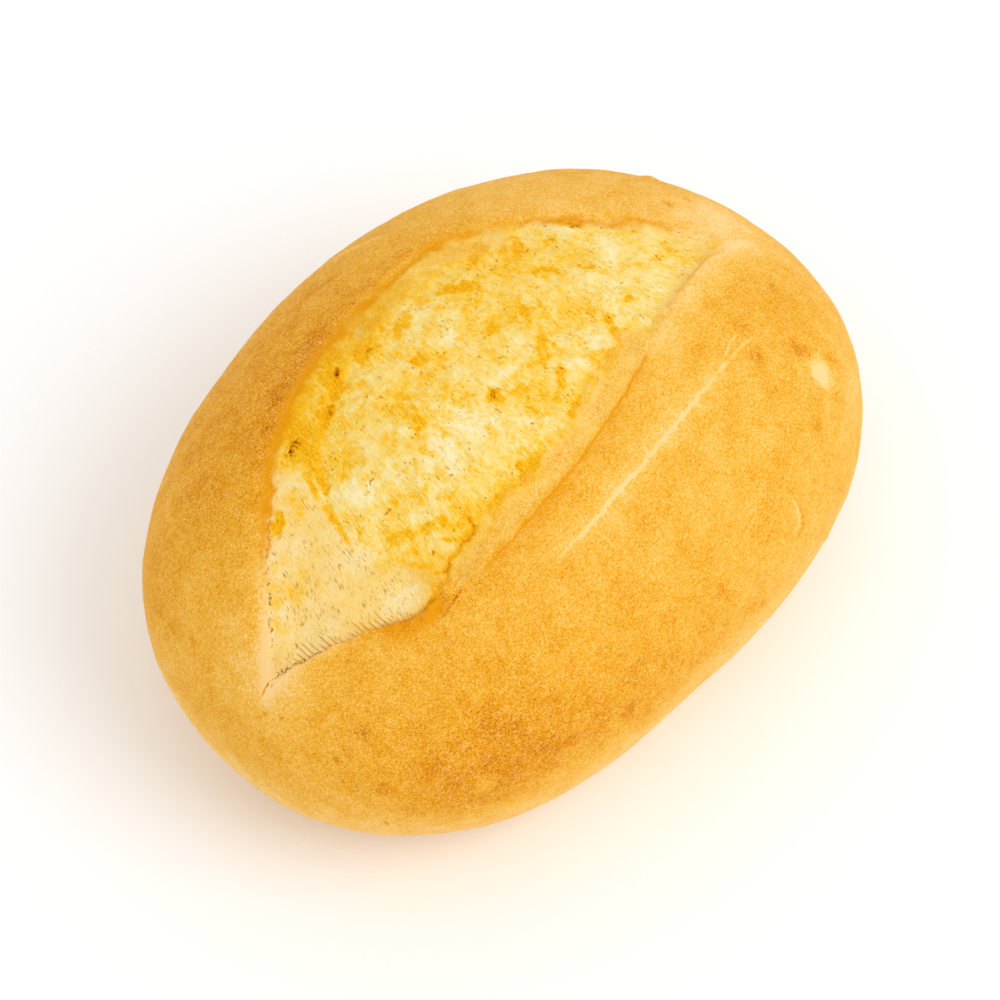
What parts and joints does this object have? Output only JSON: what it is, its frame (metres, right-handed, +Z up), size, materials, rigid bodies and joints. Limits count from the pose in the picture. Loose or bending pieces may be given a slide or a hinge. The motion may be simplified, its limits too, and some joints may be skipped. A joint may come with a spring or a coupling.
{
  "type": "bread roll",
  "caption": "Oval wheat bread roll on a flat base, its golden crust burst open along the top over pale torn crumb.",
  "frame": {"origin": "middle of the underside", "axes": "+X along the roll's length, towards the end where the burst's narrower tip lies; +Y towards the far lip of the burst; +Z up"},
  "size_m": [0.11, 0.081, 0.0529],
  "materials": {
    "crust": "satin to matte golden-yellow baked crust, finely speckled, browner low on the near side",
    "torn_crumb": "matte pale cream torn crumb with yellow-orange patches, fine pits and stretched fibres"
  },
  "bodies": {
    "root": {"roll": "crust"}
  },
  "joints": []
}
